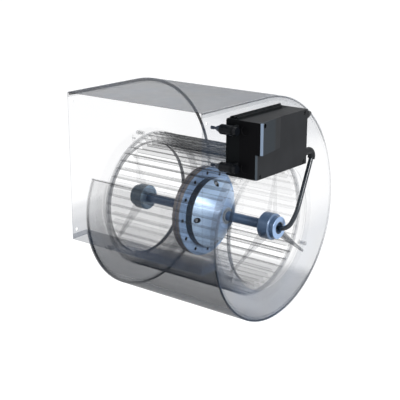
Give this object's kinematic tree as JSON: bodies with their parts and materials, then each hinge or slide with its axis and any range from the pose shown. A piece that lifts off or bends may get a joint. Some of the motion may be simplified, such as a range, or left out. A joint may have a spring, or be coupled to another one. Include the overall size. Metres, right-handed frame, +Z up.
{
  "type": "centrifugal fan",
  "caption": "Double-inlet centrifugal fan: see-through scroll housing, bladed wheel on an external-rotor motor, and a black controller on one side.",
  "frame": {"origin": "centre of the wheel, on the shaft axis at the middle of the housing width", "axes": "+X along the shaft towards the controller, -Y out of the outlet, +Z up"},
  "size_m": [0.4304, 0.4428, 0.4564],
  "materials": {
    "clear_housing": null,
    "clear_ring": "smooth rolled sheet, see-through",
    "arm_steel": "satin folded strip",
    "zinc": "zinc-plated fasteners",
    "rubber": "moulded black rubber",
    "blue_metal": "polished metal with a blue cast",
    "dark_steel": "dark machined steel",
    "magnet": "ferrite",
    "copper": "enamelled copper wire",
    "bearing_steel": "ground steel",
    "wheel_steel": "thin galvanised sheet, shown partly see-through",
    "box_plastic": "black moulded housing",
    "board": "circuit board laminate"
  },
  "bodies": {
    "housing": {"arm_rivets": "zinc", "buffer_front_lower": "rubber", "buffer_front_upper": "rubber", "buffer_rear": "rubber", "bush_left": "blue_metal", "bush_right": "blue_metal", "cable_boot": "rubber", "cable_nut": "blue_metal", "circuit_board": "board", "collar_left": "blue_metal", "collar_right": "blue_metal", "controller_base": "box_plastic", "controller_cover": "box_plastic", "cover_screws": "zinc", "end_nut": "blue_metal", "gland_blank": "rubber", "inlet_ring_left": "clear_ring", "inlet_ring_right": "clear_ring", "motor_cable": "rubber", "outlet_floor": "clear_housing", "ring_screws": "zinc", "rubber_nuts": "rubber", "scroll_wrap": "clear_housing", "shaft": "blue_metal", "side_plate_left": "clear_housing", "side_plate_right": "clear_housing", "stator_coils": "copper", "stator_core": "dark_steel", "support_arm_left_1": "arm_steel", "support_arm_left_2": "arm_steel", "support_arm_left_3": "arm_steel", "support_arm_right_1": "arm_steel", "support_arm_right_2": "arm_steel", "support_arm_right_3": "arm_steel"},
    "wheel": {"bearing_left": "bearing_steel", "bearing_right": "bearing_steel", "blades": "wheel_steel", "centre_disc": "wheel_steel", "end_ring_left": "wheel_steel", "end_ring_right": "wheel_steel", "end_shield_left": "blue_metal", "end_shield_right": "blue_metal", "flange_bolts": "zinc", "flange_nuts": "zinc", "hub_cap_left": "blue_metal", "hub_cap_right": "blue_metal", "magnets": "magnet", "motor_flange_left": "blue_metal", "motor_flange_right": "blue_metal", "rotor_can": "dark_steel", "shield_screws": "zinc"}
  },
  "joints": [
    {"name": "wheel_spin", "type": "hinge", "parent": "housing", "child": "wheel", "pos_m": [0, 0, 0], "axis": [1, 0, 0], "continuous": true}
  ]
}
